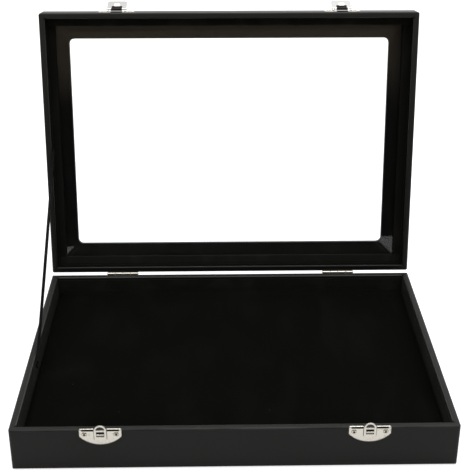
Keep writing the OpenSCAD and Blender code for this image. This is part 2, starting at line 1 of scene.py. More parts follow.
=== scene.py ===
"""Looks of a pin display case: leatherette, velvet, ribbon, glass and nickel round the packed model."""
import json
import math

import bmesh
import bpy
from bpy.props import FloatProperty, FloatVectorProperty, IntProperty, PointerProperty
from bpy.types import Operator, Panel, PropertyGroup
from mathutils import Matrix, Vector, noise
from mathutils.bvhtree import BVHTree


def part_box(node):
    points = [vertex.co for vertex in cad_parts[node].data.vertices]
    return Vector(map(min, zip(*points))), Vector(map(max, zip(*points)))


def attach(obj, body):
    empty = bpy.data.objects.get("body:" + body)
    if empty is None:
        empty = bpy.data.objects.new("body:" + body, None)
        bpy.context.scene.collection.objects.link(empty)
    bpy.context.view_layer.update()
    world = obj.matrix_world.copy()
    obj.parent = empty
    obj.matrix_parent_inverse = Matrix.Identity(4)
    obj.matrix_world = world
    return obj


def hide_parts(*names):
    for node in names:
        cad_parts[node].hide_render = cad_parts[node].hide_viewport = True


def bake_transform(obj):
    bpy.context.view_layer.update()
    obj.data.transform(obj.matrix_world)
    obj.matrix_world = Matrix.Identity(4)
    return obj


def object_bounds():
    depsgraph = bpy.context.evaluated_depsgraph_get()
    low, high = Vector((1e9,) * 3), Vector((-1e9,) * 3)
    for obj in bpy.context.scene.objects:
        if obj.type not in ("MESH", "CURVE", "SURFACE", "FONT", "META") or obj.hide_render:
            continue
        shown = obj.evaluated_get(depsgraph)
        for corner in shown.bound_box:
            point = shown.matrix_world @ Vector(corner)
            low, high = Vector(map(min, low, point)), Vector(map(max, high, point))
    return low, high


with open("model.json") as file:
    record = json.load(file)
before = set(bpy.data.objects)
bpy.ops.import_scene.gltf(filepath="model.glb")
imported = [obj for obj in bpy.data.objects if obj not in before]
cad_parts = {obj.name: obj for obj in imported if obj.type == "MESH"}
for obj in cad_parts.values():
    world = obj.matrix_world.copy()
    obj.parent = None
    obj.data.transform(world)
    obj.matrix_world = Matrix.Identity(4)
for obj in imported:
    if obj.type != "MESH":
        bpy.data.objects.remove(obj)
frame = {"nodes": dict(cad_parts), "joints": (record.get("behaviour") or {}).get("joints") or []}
CAD_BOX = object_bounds()

bl_info = {
    "name": "Pin Display Case",
    "version": (1, 0, 0),
    "blender": (4, 5, 0),
    "location": "View3D > Sidebar > Display Case",
    "description": "Finishes the boards, covering, pad, glass and metalwork of a pin display case",
    "category": "Object",
}

MM = 0.001

# Width of the covered rim, from the outside of the case to the inner face of its wall
RIM_IN = 5.4 * MM

# Rounding of sharp edges
VELVET_EDGE = 0.25 * MM
SHEET_EDGE = 0.15 * MM
STAPLE_EDGE = 0.12 * MM

LID_HINGE = next(joint for joint in frame["joints"] if joint["name"] == "lid_hinge")
HINGE_POINT = Vector(LID_HINGE["pos_m"])
SHUT_ANGLE = math.radians(LID_HINGE["range_deg"][1])

# Nodes by the finish that they take
LONG_STRIPS = ["front_glass_strip", "rear_glass_strip"]
SIDE_STRIPS = ["left_glass_strip", "right_glass_strip"]
BASE_BOARDS = [
    "base_front_board", "base_rear_board", "base_left_board", "base_right_board",
    "base_bottom_board", "pad_board",
]
LID_BOARDS = ["lid_front_board", "lid_rear_board", "lid_left_board", "lid_right_board"]
CATCH_PLATES = ["left_catch_plate", "right_catch_plate"]
HASPS = ["left_hasp_plate", "right_hasp_plate", "left_hasp_flap", "right_hasp_flap"]
SHEET_METAL = [
    "left_catch_nose", "right_catch_nose",
    "left_hinge_base_leaf", "right_hinge_base_leaf", "left_hinge_lid_leaf", "right_hinge_lid_leaf",
]
TURNED_METAL = [
    "left_hinge_pin", "right_hinge_pin", "left_hasp_pin", "right_hasp_pin",
    "base_hinge_screws", "lid_hinge_screws", "hasp_screws",
]
SPRINGS = ["left_hasp_spring", "right_hasp_spring"]
STAPLES = ["strap_base_staple", "strap_lid_staple"]


def colour(name, description, default):
    return FloatVectorProperty(
        name=name, description=description, default=default, min=0, max=1, subtype="COLOR")


def length(name, description, default):
    return FloatProperty(
        name=name, description=description, default=default, min=0, unit="LENGTH", precision=5)


def share(name, description, default):
    return FloatProperty(
        name=name, description=description, default=default, min=0, max=1, subtype="FACTOR")


def angle(name, description, degrees):
    return FloatProperty(
        name=name, description=description, default=math.radians(degrees), subtype="ANGLE")


def spot(name, description, default):
    return FloatVectorProperty(
        name=name, description=description, default=default, subtype="TRANSLATION")


class CaseFinishes(PropertyGroup):
    """Colours of the finishes and the scale of their grain"""
    leather: colour("Leatherette", "Colour of the covering of the base", (0.0098, 0.0098, 0.009))
    # Painted light: the lid's leatherette is given a lighter colour than the base's, and a gradient of
    # painted light and shade
    lid_leather_painted_light: colour("Lid leatherette", "Colour of the covering of the lid", (0.0185, 0.0185, 0.0165))
    lid_painted_light_gradient: share("Lid fading", "How much paler the lid is along its front than along its rear", 0.75)
    # This colour is both real wear on the edges and a painted highlight along the rim's inner edge
    leather_wear_and_highlight: colour("Worn leatherette", "Colour where edges are rubbed", (0.065, 0.065, 0.061))
    leather_edge: length("Leather edge", "Radius that the edges of the covering show", 1.0 * MM)
    leather_grain: length("Leather grain", "Width of one pebble of the grain", 0.55 * MM)
    # Painted light and shade: one black velvet, its colour set darker on the pad and lid lining and lighter
    # on the base lining and strips
    pad_velvet: colour("Pad velvet", "Colour of the pad", (0.0026, 0.0026, 0.0022))
    base_velvet_painted_light: colour("Base velvet", "Colour of the lining of the base", (0.0145, 0.0145, 0.0125))
    lid_velvet_painted_shade: colour("Lid velvet", "Colour of the lining of the lid", (0.0055, 0.0055, 0.0046))
    strip_velvet_painted_light: colour(
        "Strip velvet", "Colour of the long strips that hold the glass", (0.017, 0.017, 0.015))
    side_velvet_painted_light: colour(
        "Side strip velvet", "Colour of the short strips that hold the glass", (0.011, 0.011, 0.0095))
    nap: length("Nap", "Width of one tuft of the nap", 0.45 * MM)
    lint: colour("Lint", "Colour of stray fibres on the velvet", (0.05, 0.05, 0.045))
    ribbon: colour("Ribbon", "Colour of the stay strap", (0.0045, 0.0045, 0.0042))
    ribbon_rib: length("Ribbon rib", "Distance from rib to rib across the ribbon", 0.7 * MM)
    nickel: colour("Nickel", "Colour of the plated metal", (0.84, 0.802, 0.715))
    # Painted highlight: the hasps' nickel is given a lighter colour than the satin nickel
    bright_nickel: colour("Bright nickel", "Colour of the polished hasps", (0.955, 0.95, 0.935))
    # Painted shade: this colour darkens the metal in its corners, creases, screw heads and spring pivots
    metal_painted_shade: colour(
        "Grease", "Colour of grease and tarnish in the corners of the metal", (0.018, 0.016, 0.013))
    metal_edge: length("Metal edge", "Radius that the edges of the plated metal show", 0.5 * MM)
    catch_edge: length("Catch edge", "Radius that the pressed edges of the catch plates show", 1.5 * MM)
    steel: colour("Spring steel", "Colour of the blackened springs", (0.014, 0.011, 0.008))
    wire: colour("Staple wire", "Colour of the blackened staples", (0.04, 0.04, 0.038))
    fibre: colour("Fibreboard", "Colour of the raw boards", (0.42, 0.30, 0.19))
    board: colour("Black board", "Colour of the paper on the window panel", (0.016, 0.016, 0.0145))
    # Painted light: the paper's colour along its rear edge and on its left, painted lighter
    board_painted_light: colour("Faded board", "Colour of that paper along its rear edge", (0.03, 0.03, 0.028))
    flock: colour("Flocked paper", "Colour of the sheet under the base", (0.012, 0.012, 0.012))
    glass: colour("Glass", "Tint of the glass", (0.985, 1.0, 0.993))


class PadForm(PropertyGroup):
    """How the velvet pad is meshed and swelled"""
    cell: length("Cell", "Size of a mesh cell before it is subdivided", 5 * MM)
    side_rows: IntProperty(
        name="Side rows", description="Rows of cells down the sides", default=4, min=2, max=8)
    clearance: length("Clearance", "Least room between the pad and the wall lining", 0.35 * MM)
    slack: length("Slack", "Height by which the middle starts below its swelled form", 0.5 * MM)
    reach: length("Reach", "Most that a point may move while the pad swells", 0.7 * MM)
    pressure: FloatProperty(name="Pressure", description="Pressure that swells the cover", default=4, min=0)
    frames: IntProperty(name="Frames", description="Frames of cloth simulation", default=20, min=2)
    unevenness: length("Unevenness", "Height of the soft unevenness of the foam", 0.25 * MM)


class StrapForm(PropertyGroup):
    """Form of the ribbon that stays the lid"""
    step: length("Step", "Distance between cross sections along the ribbon", 1.5 * MM)
    selvedge: length("Selvedge", "Width of the thicker woven edge", 0.8 * MM)
    thinning: share("Thinning", "Share of the thickness that the middle lacks", 0.35)
    waver: length("Waver", "How far the edges waver from straight", 0.12 * MM)
    twist: angle("Twist", "Turn of the ribbon about its run, halfway up", -4)
    sway: length("Sway", "How far the ribbon hangs towards the pad, halfway up", 0.35 * MM)


class StageSetup(PropertyGroup):
    """Camera, floor and light"""
    camera_place: spot("Camera", "Place of the camera", (-0.01358, -0.78114, 0.52725))
    camera_pitch: angle("Pitch", "Angle of the view below level", 26.256)
    camera_yaw: angle("Yaw", "Turn of the view to the left", -1.138)
    camera_roll: angle("Roll", "Tilt of the view", 0.092)
    lens: FloatProperty(
        name="Lens", description="Focal length in millimetres", default=79.99, subtype="DISTANCE_CAMERA")
    sensor: FloatProperty(
        name="Sensor", description="Width of the sensor in millimetres", default=36,
        subtype="DISTANCE_CAMERA")
    floor_side: length("Floor sides", "Reach of the floor to each side", 2.5)
    floor_back: length("Floor back", "Reach of the floor behind the case", 4.0)
    floor_left: length("Floor front left", "Reach of the floor in front of the case, on its left", 0.252)
    floor_right: length("Floor front right", "Reach of the floor in front of the case, on its right", 0.332)
    floor: colour("Floor", "Colour of the floor", (0.82, 0.82, 0.82))
    floor_lift: share("Floor lift", "Light that whitens the floor for the eye", 0.62)
    backdrop: colour("Backdrop", "Light from behind and above", (1.0, 1.0, 1.0))
    backdrop_left: colour("Left backdrop", "Light from the left", (0.64, 0.64, 0.64))
    room: colour("Room", "Light of the room in front, at eye level", (0.405, 0.33, 0.24))
    room_dark: colour("Dark room", "Light of the room in front, above and below that", (0.022, 0.022, 0.02))
    lamp_size: length("Lamp size", "Side of the square lamp overhead", 1.5)
    lamp_place: spot("Lamp", "Place of the lamp overhead", (-0.1, 0.0, 1.7))
    lamp_power: FloatProperty(
        name="Lamp power", description="Power of the lamp", default=12, min=0, unit="POWER")


class Wire:
    """A socket of a node tree. Arithmetic on it adds Math nodes to that tree."""

    def __init__(self, tree, socket):
        self.tree = tree
        self.socket = socket

    def math(self, operation, *values):
        return self.tree.add("ShaderNodeMath", {"operation": operation}, dict(enumerate(values)))

    def __add__(self, other):
        return self.math("ADD", self, other)

    def __radd__(self, other):
        return self.math("ADD", other, self)

    def __sub__(self, other):
        return self.math("SUBTRACT", self, other)

    def __rsub__(self, other):
        return self.math("SUBTRACT", other, self)

    def __mul__(self, other):
        return self.math("MULTIPLY", self, other)

    def __rmul__(self, other):
        return self.math("MULTIPLY", other, self)

    def __pow__(self, other):
        return self.math("POWER", self, other)

    def __rpow__(self, other):
        return self.math("POWER", other, self)

    def __abs__(self):
        return self.math("ABSOLUTE", self)

    def sine(self):
        return self.math("SINE", self)

    def least(self, other):
        return self.math("MINIMUM", self, other)

    def most(self, other):
        return self.math("MAXIMUM", self, other)

    def rise(self, low, high):
        """0 below low, 1 above high, and smooth between them"""
        return self.tree.add(
            "ShaderNodeMapRange", {"interpolation_type": "SMOOTHSTEP"},
            {"Value": self, "From Min": low, "From Max": high})


class Finish:
    """A node tree under construction, for a material or the world."""

    def __init__(self, owner):
        owner.use_nodes = True
        self.owner = owner
        self.nodes = owner.node_tree.nodes
        self.links = owner.node_tree.links
        self.nodes.clear()

    def add(self, kind, settings=None, inputs=None, output=0):
        """Adds a node with its settings and the values or links of its sockets, and gives one output"""
        node = self.nodes.new(kind)
        for name, value in (settings or {}).items():
            setattr(node, name, value)
        for key, value in (inputs or {}).items():
            if isinstance(value, Wire):
                self.links.new(value.socket, node.inputs[key])
            else:
                node.inputs[key].default_value = value
        return Wire(self, node.outputs[output]) if node.outputs else None

    def place(self, body="base"):
        """Coordinates in the shut case, so that both halves share their axes"""
        place = self.add("ShaderNodeTexCoord", output="Object")
        if body == "base":
            return place
        return self.add(
            "ShaderNodeVectorRotate", {"rotation_type": "X_AXIS"},
            {"Vector": place, "Center": HINGE_POINT, "Angle": SHUT_ANGLE})

    def axes(self, vector):
        split = self.add("ShaderNodeSeparateXYZ", inputs={"Vector": vector})
        return [Wire(self, socket) for socket in split.socket.node.outputs]

    def along(self, vector, direction):
        return self.add(
            "ShaderNodeVectorMath", {"operation": "DOT_PRODUCT"}, {0: vector, 1: direction}, output="Value")

    def stretched(self, vector, scale):
        return self.add("ShaderNodeVectorMath", {"operation": "MULTIPLY"}, {0: vector, 1: scale})

    def clouds(self, vector, size, detail=2.0, distortion=0.0):
        """Soft noise from 0 to 1 whose lumps have the given size"""
        return self.add(
            "ShaderNodeTexNoise",
            inputs={"Vector": vector, "Scale": 1 / size, "Detail": detail, "Distortion": distortion})

    def pebbles(self, vector, size):
        """0 in the creases between pebbles and about 0.5 in the middle of each"""
        return self.add(
            "ShaderNodeTexVoronoi", {"feature": "DISTANCE_TO_EDGE"}, {"Vector": vector, "Scale": 1 / size},
            output="Distance")

    def tint(self, factor, low, high):
        """A colour that goes from low to high with the factor"""
        return self.add(
            "ShaderNodeMix", {"data_type": "RGBA"},
            {0: factor, 6: rgba(low), 7: rgba(high)}, output=2)

    def bump(self, height, depth, strength, rounding=0.0):
        """Relief of the given depth, on edges that look rounded by a radius"""
        inputs = {"Strength": strength, "Distance": depth, "Height": height}
        if rounding:
            inputs["Normal"] = self.add("ShaderNodeBevel", {"samples": 6}, {"Radius": rounding})
        return self.add("ShaderNodeBump", inputs=inputs)

    def recess(self, reach):
        """0 on open faces and up to 1 in the corners of a body"""
        return 1 - self.add("ShaderNodeAmbientOcclusion", {"samples": 8}, {"Distance": reach}, output="AO")

    def surface(self, **inputs):
        """Ends a material in one Principled shader: words of an input's name are joined by underscores"""
        named = {name.replace("_", " ").replace("Ior", "IOR"): value for name, value in inputs.items()}
        shader = self.add("ShaderNodeBsdfPrincipled", inputs=named)
        self.add("ShaderNodeOutputMaterial", inputs={"Surface": shader})
        return self.owner


def rgba(value):
    return value if isinstance(value, Wire) else (*value, 1.0)


def scaled(value, factor):
    """A colour made darker or lighter by a factor"""
    return [factor * part for part in value]


def new_finish(name):
    return Finish(bpy.data.materials.new(name))


def shut(point):
    """Where a point of the open lid lies when the lid is shut"""
    return HINGE_POINT + Matrix.Rotation(SHUT_ANGLE, 3, "X") @ (Vector(point) - HINGE_POINT)


def shut_box(node):
    """Middle and half size of a lid node's box in the shut case"""
    points = [shut(vertex.co) for vertex in frame["nodes"][node].data.vertices]
    low = Vector([min(point[axis] for point in points) for axis in range(3)])
    high = Vector([max(point[axis] for point in points) for axis in range(3)])
    return (low + high) / 2, (high - low) / 2


def base_box(node):
    low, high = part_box(node)
    return (low + high) / 2, (high - low) / 2


def leatherette(name, finishes, body, box, dye, rough, rim_highlight, painted_light_gradient=0.0):
    """Black coated cloth with a fine pebble grain, lighter in patches along its edges with wear and a
    painted sheen, creased at its mitres, with a painted highlight along the inner edge of the rim, and
    painted lighter towards its front and darker towards its rear where a gradient of painted light is given"""
    finish = new_finish(name)
    middle, half = box
    place = finish.place(body)
    grain = finishes.leather_grain
    pebble = finish.pebbles(place, grain).rise(0.0, 0.3)
    fine = finish.clouds(place, grain / 3)
    lumps = finish.clouds(place, 9 * MM, detail=1)
    patches = finish.clouds(place, 45 * MM, detail=3)
    axes = finish.axes(place)
    width, depth, height = [size - abs(axis - centre) for axis, centre, size in zip(axes, middle, half)]
    edge = width.most(depth).least(width.most(height)).least(depth.most(height))
    # Lighter in patches near the edges: wear, and a painted sheen on the edges
    worn = (1 - edge.rise(0.2 * MM, 2.2 * MM)) * patches.rise(0.35, 0.65)
    mitre = 1 - abs(width - depth).rise(0.1 * MM, 0.45 * MM)
    mitre = mitre * (1 - width.rise(5 * MM, 6 * MM)) * (1 - height.rise(0.5 * MM, 1.2 * MM))
    # Painted highlight: a band along the inner edge of the rim, in the worn colour
    long_rim_highlight, side_rim_highlight = [
        (1 - abs(inward - RIM_IN).rise(0.2 * MM, 0.9 * MM)) * along.rise(RIM_IN, RIM_IN + 3 * MM)
        for inward, along in ((depth, width), (width, depth))]
    rim_highlight_mask = long_rim_highlight.most(side_rim_highlight) * (1 - height.rise(0.6 * MM, 1.4 * MM))
    relief = pebble * 0.5 + fine * 0.2 + lumps * 1.6 - mitre * 3
    # Painted light and shade: the lid is lighter along its front, its top when open, and darker along its
    # rear by the hinge
    front = 1 - axes[1].rise(middle.y - half.y, middle.y + half.y)
    shade = finish.tint(front, scaled(dye, 1 - painted_light_gradient), scaled(dye, 1 + painted_light_gradient))
    shade = finish.tint(pebble * 0.14 + patches * 0.14, shade, (0, 0, 0))
    return finish.surface(
        Base_Color=finish.tint((worn * 0.45).most(rim_highlight_mask * rim_highlight), shade, finishes.leather_wear_and_highlight),
        Roughness=rough + patches * 0.1 - worn.most(rim_highlight_mask) * 0.1 + (1 - pebble) * 0.08,
        Specular_Ior_Level=0.3,
        Normal=finish.bump(relief, 0.06 * MM, 0.6, rounding=finishes.leather_edge))


def velvet(name, finishes, body, dye, lint_spacing=0.0):
    """Short black pile with brushed patches, and stray lint where a spacing is given"""
    finish = new_finish(name)
    place = finish.place(body)
    tufts = finish.clouds(place, finishes.nap, detail=3)
    strokes = finish.clouds(finish.stretched(place, (1, 0.35, 1)), 26 * MM, detail=2, distortion=0.6)
    brushed = strokes.rise(0.42, 0.72) * 0.7 + tufts * 0.3
    pile = finish.tint(brushed, dye, scaled(dye, 1.7))
    if lint_spacing:
        pile = finish.tint(lint(finish, place, lint_spacing), pile, finishes.lint)
    return finish.surface(
        Base_Color=pile,
        Roughness=0.86 + tufts * 0.14,
        Specular_Ior_Level=0.02,
        Sheen_Weight=0.012,
        Sheen_Roughness=0.4,
        Normal=finish.bump(tufts + strokes * 0.5, 0.25 * MM, 0.5))


def lint(finish, place, spacing):
    """A mask of a few short fibres, scattered one to a cell in about a third of the cells"""
    wave, sway = 4 * MM, 1.2 * MM
    waves = finish.add("ShaderNodeTexNoise", inputs={"Vector": place, "Scale": 1 / wave}, output="Color")
    bent = finish.add(
        "ShaderNodeVectorMath", {"operation": "MULTIPLY_ADD"}, {0: waves, 1: (sway, sway, 0), 2: place})
    cells = {"Vector": bent, "Scale": 1 / spacing}
    near = finish.add("ShaderNodeTexVoronoi", {"voronoi_dimensions": "2D"}, cells, output="Distance")
    picked = finish.add("ShaderNodeTexVoronoi", {"voronoi_dimensions": "2D"}, cells, output="Color")
    red, green, _ = finish.axes(picked)
    fibre = 1 - near.rise(0.35 * MM / spacing, 0.6 * MM / spacing)
    return fibre * red.rise(0.64, 0.68) * (0.3 + green * 0.7)


def ribbon_cloth(finishes, origin, direction):
    """Black woven ribbon with ribs across it and a plain selvedge"""
    finish = new_finish("ribbon")
    place = finish.add("ShaderNodeVectorMath", {"operation": "SUBTRACT"}, {0: finish.place(), 1: origin})
    along = finish.along(place, direction)
    across = finish.along(place, Vector((0, -direction.z, direction.y)))
    rib = finishes.ribbon_rib
    half_width = ribbon_width() / 2
    selvedge = abs(across).rise(half_width - 1.1 * MM, half_width - 0.8 * MM)
    ribs = (along * (2 * math.pi / rib)).sine() * 0.5 + 0.5
    threads = (across * (2 * math.pi / (0.5 * rib))).sine() * 0.5 + 0.5
    weave = ribs * (1 - selvedge) + threads * 0.35 + selvedge * 0.4
    fuzz = finish.clouds(place, 0.3 * MM, detail=3)
    return finish.surface(
        Base_Color=finish.tint(weave * 0.6 + fuzz * 0.4, scaled(finishes.ribbon, 0.55), finishes.ribbon),
        Roughness=0.66 + fuzz * 0.2,
        Specular_Ior_Level=0.12,
        Sheen_Weight=0.02,
        Normal=finish.bump(weave + fuzz * 0.3, 0.12 * MM, 0.7))


def nickel(name, finishes, edge, shade_mask=None):
    """Satin nickel plate with rolling marks and small dull spots, and painted shade in its corners and
    hollows.
    A function may be given that marks where more painted shade goes."""
    finish = new_finish(name)
    place = finish.place()
    rolled = finish.clouds(finish.stretched(place, (0.08, 1, 1)), 0.35 * MM, detail=3)
    spots = finish.clouds(place, 2.5 * MM, detail=3)
    dull = spots.rise(0.56, 0.7)
    # Painted shade: the metal is darkened in its corners and hollows, where ambient occlusion finds them
    painted_shade = finish.recess(1.2 * MM).rise(0.25, 0.6)
    if shade_mask:
        painted_shade = painted_shade.most(shade_mask(finish, place))
    plate = finish.tint(dull, finishes.nickel, scaled(finishes.nickel, 0.8))
    return finish.surface(
        Base_Color=finish.tint(painted_shade, plate, finishes.metal_painted_shade),
        Metallic=1.0,
        Roughness=0.1 + rolled * 0.1 + dull * 0.08,
        Normal=finish.bump(rolled + spots * 0.8, 0.02 * MM, 0.4, rounding=edge))


def catch_painted_shade(finish, place):
    """A mask of painted shade on the catch plates: in the crease under their top edge, and along the nose
    """
    middle, half = base_box("left_catch_plate")
    nose = base_box("left_catch_nose")[1].x
    top = middle.z + half.z
    crease_z = top - 1.15 * MM
    x, _, z = finish.axes(place)
    aside = abs(abs(x) - abs(middle.x))
    crease = 1 - abs(z - crease_z).rise(0.65 * MM, 0.95 * MM)
    crease = crease * aside.rise(nose + 0.1 * MM, nose + 0.6 * MM)
    crease = crease * (1 - aside.rise(half.x - 2.2 * MM, half.x - 1.4 * MM))
    beside_nose = 1 - aside.rise(nose + 0.3 * MM, nose + 0.7 * MM)
    beside_nose = beside_nose * z.rise(top - 9.5 * MM, top - 8 * MM)
    return crease.most(beside_nose * 0.75)


def catch_screw_painted_shade(finish, place):
    """A mask of painted shade in the cross and round the rim of the catches' screw heads"""
    middle, half = base_box("catch_screws")
    head = half.z
    clasp = abs(base_box("left_catch_plate")[0].x)
    spread = half.x - head - clasp
    cross_drop = 0.3 * MM
    x, _, z = finish.axes(place)
    across = abs(abs(x) - clasp) - spread
    up = z - middle.z
    off_cross = (across ** 2 + (up + cross_drop) ** 2) ** 0.5
    off_axis = (across ** 2 + up ** 2) ** 0.5
    cross = 1 - off_cross.rise(0.6 * MM, 1.1 * MM)
    return cross.most(off_axis.rise(head - 0.45 * MM, head) * 0.6)


def bright_nickel(finishes):
    """Polished nickel with faint spots, painted lighter as a highlight, and painted shade where the springs
    turn on their pins
    """
    finish = new_finish("bright_nickel")
    place = finish.place("lid")
    x, _, z = finish.axes(place)
    pin = shut_box("left_hasp_pin")[0]
    reach = shut_box("left_hasp_spring")[1].x
    spots = finish.clouds(place, 2.5 * MM, detail=3)
    # Painted shade where the springs turn on their pins
    pivot_shade = 1 - abs(abs(x) + pin.x).rise(reach + 0.2 * MM, reach + 0.5 * MM)
    pivot_shade = pivot_shade * (1 - z.rise(pin.z + 0.6 * MM, pin.z + 1.2 * MM))
    return finish.surface(
        Base_Color=finish.tint(pivot_shade, finishes.bright_nickel, finishes.metal_painted_shade),
        Metallic=1.0,
        Roughness=0.05 + spots * 0.06,
        Normal=finish.bump(spots, 0.02 * MM, 0.4, rounding=finishes.metal_edge))


def spring_steel(finishes):
    """Blackened steel with a faint heat tint"""
    finish = new_finish("spring_steel")
    place = finish.place("lid")
    heat = finish.clouds(place, 3 * MM, detail=2)
    scale = finish.clouds(place, 0.4 * MM, detail=3)
    warm = [part * factor for part, factor in zip(finishes.steel, (1.5, 1.15, 0.9))]
    return finish.surface(
        Base_Color=finish.tint(heat.rise(0.4, 0.65), finishes.steel, warm),
        Specular_Ior_Level=0.15,
        Roughness=0.38 + scale * 0.2,
        Normal=finish.bump(scale, 0.02 * MM, 0.5))


def staple_wire(finishes):
    """Blackened wire with drawn marks along it"""
    finish = new_finish("staple_wire")
    place = finish.place()
    drawn = finish.clouds(finish.stretched(place, (1, 0.3, 0.3)), 0.2 * MM, detail=3)
    return finish.surface(
        Base_Color=finish.tint(drawn, scaled(finishes.wire, 0.6), finishes.wire),
        Metallic=1.0,
        Roughness=0.3 + drawn * 0.25,
        Normal=finish.bump(drawn, 0.02 * MM, 0.4))


def fibreboard(name, finishes, body):
    """Raw pressed board: pale fibres in a brown body, inked black along the rim"""
    finish = new_finish(name)
    place = finish.place(body)
    _, _, z = finish.axes(place)
    inked = 1 - abs(z - HINGE_POINT.z).rise(3 * MM, 4 * MM)
    mottle = finish.clouds(place, 8 * MM, detail=4)
    fibres = finish.clouds(finish.stretched(place, (0.25, 0.25, 1)), 0.7 * MM, detail=4, distortion=1.5)
    raw = finish.tint(mottle * 0.4 + fibres * 0.6, scaled(finishes.fibre, 0.62), finishes.fibre)
    return finish.surface(
        Base_Color=finish.tint(inked, raw, finishes.board),
        Roughness=0.82 + fibres * 0.12,
        Specular_Ior_Level=0.2,
        Normal=finish.bump(fibres, 0.1 * MM, 0.5))


def black_board(finishes):
    """Black paper with a faint laid texture, painted lighter along the rear edge and a little on the left
    as painted light
    """
    finish = new_finish("black_board")
    place = finish.place("lid")
    fibres = finish.clouds(finish.stretched(place, (0.4, 1, 1)), 0.5 * MM, detail=4)
    mottle = finish.clouds(place, 12 * MM, detail=2)
    x, y, _ = finish.axes(place)
    # Painted light: lighter along the rear edge, less so on the right, and a little on the left
    rear = y.rise(85 * MM, 100 * MM) * (1 - x.rise(-150 * MM, 150 * MM) * 0.4)
    left = 1 - x.rise(-160 * MM, -100 * MM)
    painted_light_mask = rear.most(left * 0.18)
    paper = finish.tint(fibres * 0.5 + mottle * 0.5, scaled(finishes.board, 0.7), finishes.board)
    return finish.surface(
        Base_Color=finish.tint(painted_light_mask, paper, finishes.board_painted_light),
        Roughness=0.72 + fibres * 0.16,
        Specular_Ior_Level=0.2,
        Normal=finish.bump(fibres, 0.04 * MM, 0.5))


def flocked_paper(finishes):
    """Black flock on paper, with a thin and uneven pile"""
    finish = new_finish("lining_paper")
    place = finish.place()
    flock = finish.clouds(place, 0.3 * MM, detail=4)
    thin = finish.clouds(place, 18 * MM, detail=3)
    worn = thin.rise(0.4, 0.7) * 0.6 + flock * 0.4
    return finish.surface(
        Base_Color=finish.tint(worn, finishes.flock, scaled(finishes.flock, 1.7)),
        Roughness=0.9 + flock * 0.1,
        Specular_Ior_Level=0.12,
        Normal=finish.bump(flock, 0.12 * MM, 0.5))


def clear_glass(finishes):
    """Clear float glass with a trace of wiping marks"""
    finish = new_finish("clear_glass")
    place = finish.place("lid")
    wiped = finish.clouds(finish.stretched(place, (1, 0.3, 1)), 30 * MM, detail=3, distortion=0.8)
    return finish.surface(
        Base_Color=finish.tint(wiped, scaled(finishes.glass, 0.995), finishes.glass),
        Roughness=wiped.rise(0.55, 0.8) * 0.015,
        Transmission_Weight=1.0,
        Ior=1.46)


def dress(nodes, material, soften=0.0):
    """Gives CAD nodes a material, and rounds their sharp edges where a radius is given"""
    for name in nodes:
        node = frame["nodes"][name]
        node.data.materials.clear()
        node.data.materials.append(material)
        if soften:
            bevel = node.modifiers.new("soft_edges", "BEVEL")
            bevel.width = soften
            bevel.segments = 2
            bevel.limit_method = "ANGLE"
            bevel.angle_limit = math.radians(40)
            bevel.harden_normals = True


def new_piece(name, mesh, material):
    piece = bpy.data.objects.new(name, mesh)
    piece.data.materials.append(material)
    bpy.context.scene.collection.objects.link(piece)
    return piece


class CASE_OT_covering(Operator):
    """Cover the base and the lid with leatherette"""
    bl_idname = "display_case.covering"
    bl_label = "Leatherette covering"

    def execute(self, context):
        finishes = context.scene.case_finishes
        # Both halves take a painted highlight along the rim's inner edge; the lid also takes a lighter
        # colour and a gradient of painted light
        base = leatherette(
            "base_leatherette", finishes, "base", base_box("base_wrap"), finishes.leather,
            rough=0.42, rim_highlight=1.0)
        lid = leatherette(
            "lid_leatherette", finishes, "lid", shut_box("lid_wrap"), finishes.lid_leather_painted_light,
            rough=0.3, rim_highlight=0.2, painted_light_gradient=finishes.lid_painted_light_gradient)
        dress(["base_wrap"], base)
        dress(["lid_wrap"], lid)
        return {"FINISHED"}


class CASE_OT_boards(Operator):
    """Finish the raw boards, the window panel and the sheet under the base"""
    bl_idname = "display_case.boards"
    bl_label = "Boards and papers"

    def execute(self, context):
        finishes = context.scene.case_finishes
        dress(BASE_BOARDS, fibreboard("base_fibreboard", finishes, "base"))
        dress(LID_BOARDS, fibreboard("lid_fibreboard", finishes, "lid"))
        dress(["lid_window_panel"], black_board(finishes))
        dress(["base_bottom_sheet"], flocked_paper(finishes))
        return {"FINISHED"}


class CASE_OT_lining(Operator):
    """Line the walls with velvet and cover the strips that hold the glass"""
    bl_idname = "display_case.lining"
    bl_label = "Velvet lining"

    def execute(self, context):
        finishes = context.scene.case_finishes
        # The velvets' colours hold painted light and shade, set for each surface
        dress(["base_lining"], velvet("base_velvet_painted_light", finishes, "base", finishes.base_velvet_painted_light))
        dress(["lid_lining"], velvet("lid_velvet_painted_shade", finishes, "lid", finishes.lid_velvet_painted_shade), VELVET_EDGE)
        dress(LONG_STRIPS, velvet("strip_velvet_painted_light", finishes, "lid", finishes.strip_velvet_painted_light), VELVET_EDGE)
        dress(SIDE_STRIPS, velvet("side_velvet_painted_light", finishes, "lid", finishes.side_velvet_painted_light), VELVET_EDGE)
        return {"FINISHED"}


class CASE_OT_glass(Operator):
    """Fit the glass pane"""
    bl_idname = "display_case.glass"
    bl_label = "Glass"

    def execute(self, context):
        dress(["glass_pane"], clear_glass(context.scene.case_finishes))
        return {"FINISHED"}


